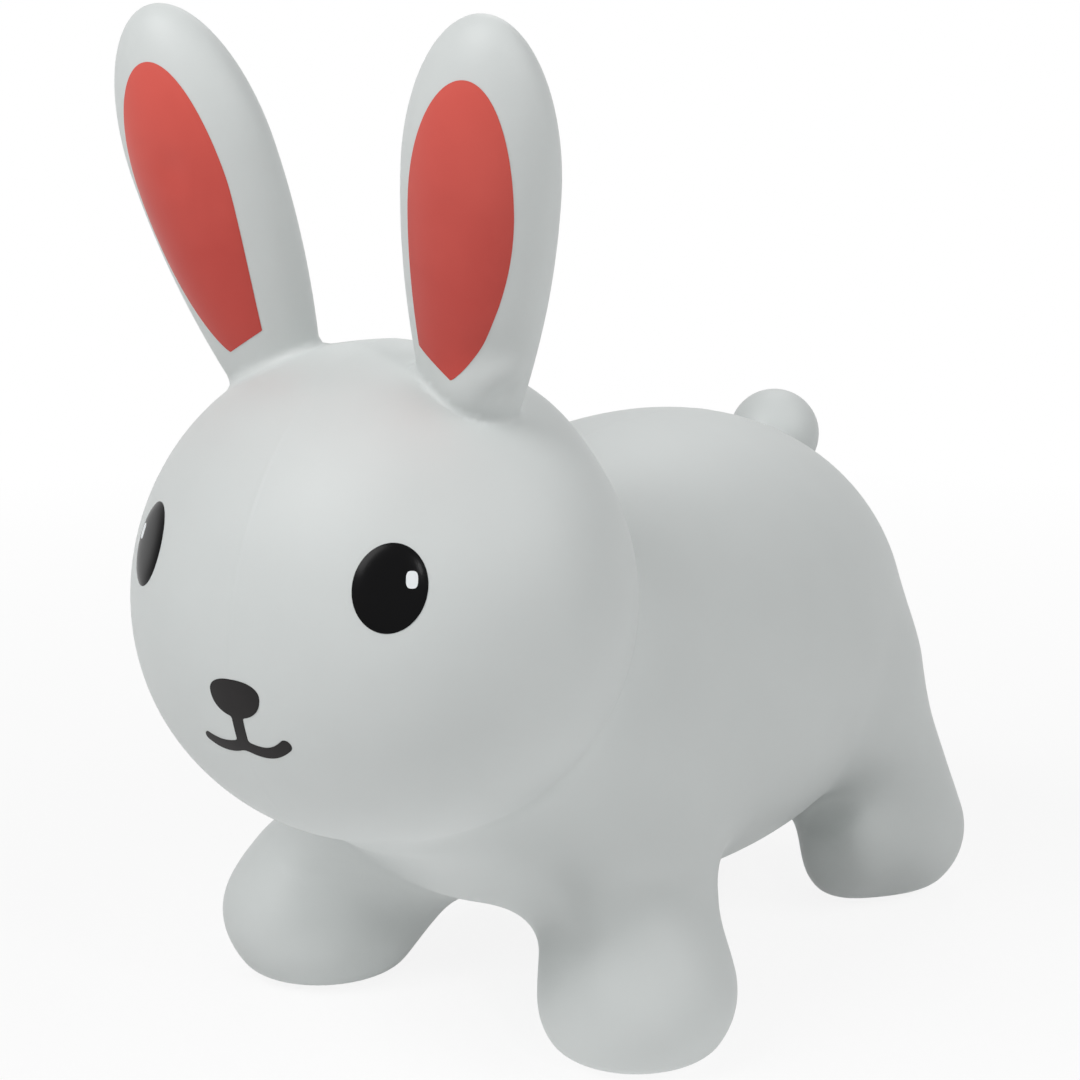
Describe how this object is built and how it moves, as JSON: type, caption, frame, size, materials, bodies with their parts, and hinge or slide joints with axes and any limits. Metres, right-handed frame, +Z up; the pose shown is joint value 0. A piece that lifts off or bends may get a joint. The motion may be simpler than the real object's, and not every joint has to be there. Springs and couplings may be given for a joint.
{
  "type": "animal hopper",
  "caption": "Hollow soft-PVC rabbit that a child straddles and bounces on, with flexing ear grips, stub legs, a ball tail, a printed face and an air valve in the belly.",
  "frame": {"origin": "on the floor, under the middle of the whole object's box, midway between the left and right feet", "axes": "+X to the rabbit's left, -Y the way it faces, +Z up"},
  "size_m": [0.2874, 0.4923, 0.4904],
  "materials": {
    "pvc_skin": "satin, moulded",
    "valve_rubber": "satin, moulded",
    "black_ink": "semi-gloss print",
    "charcoal_ink": "satin print",
    "white_ink": "satin print",
    "pink_ink": "semi-gloss print"
  },
  "bodies": {
    "body": {"body_skin": "pvc_skin", "head_skin": "pvc_skin", "left_ear_root": "pvc_skin", "right_ear_root": "pvc_skin", "front_left_leg_skin": "pvc_skin", "front_right_leg_skin": "pvc_skin", "rear_left_leg_skin": "pvc_skin", "rear_right_leg_skin": "pvc_skin", "tail_skin": "pvc_skin", "valve_seat": "valve_rubber", "left_eye_print": "black_ink", "right_eye_print": "black_ink", "left_eye_glint": "white_ink", "right_eye_glint": "white_ink", "nose_mouth_print": "charcoal_ink"},
    "left_ear": {"left_ear_skin": "pvc_skin", "left_inner_ear_print": "pink_ink"},
    "right_ear": {"right_ear_skin": "pvc_skin", "right_inner_ear_print": "pink_ink"},
    "valve_plug": {"valve_plug": "valve_rubber"}
  },
  "joints": [
    {"name": "left_ear_flex", "type": "hinge", "parent": "body", "child": "left_ear", "pos_m": [0.0588, -0.1488, 0.3392], "axis": [0.9027, 0.0475, -0.4277], "range_deg": [-20, 20], "stiffness_Nm_per_rad": 2, "deforming": ["left_ear_root"]},
    {"name": "right_ear_flex", "type": "hinge", "parent": "body", "child": "right_ear", "pos_m": [-0.0588, -0.1488, 0.3392], "axis": [0.9027, -0.0475, 0.4277], "range_deg": [-20, 20], "stiffness_Nm_per_rad": 2, "deforming": ["right_ear_root"]},
    {"name": "valve_plug_pull", "type": "slide", "parent": "body", "child": "valve_plug", "axis": [0, 0, -1], "range_m": [0, 0.018]}
  ]
}
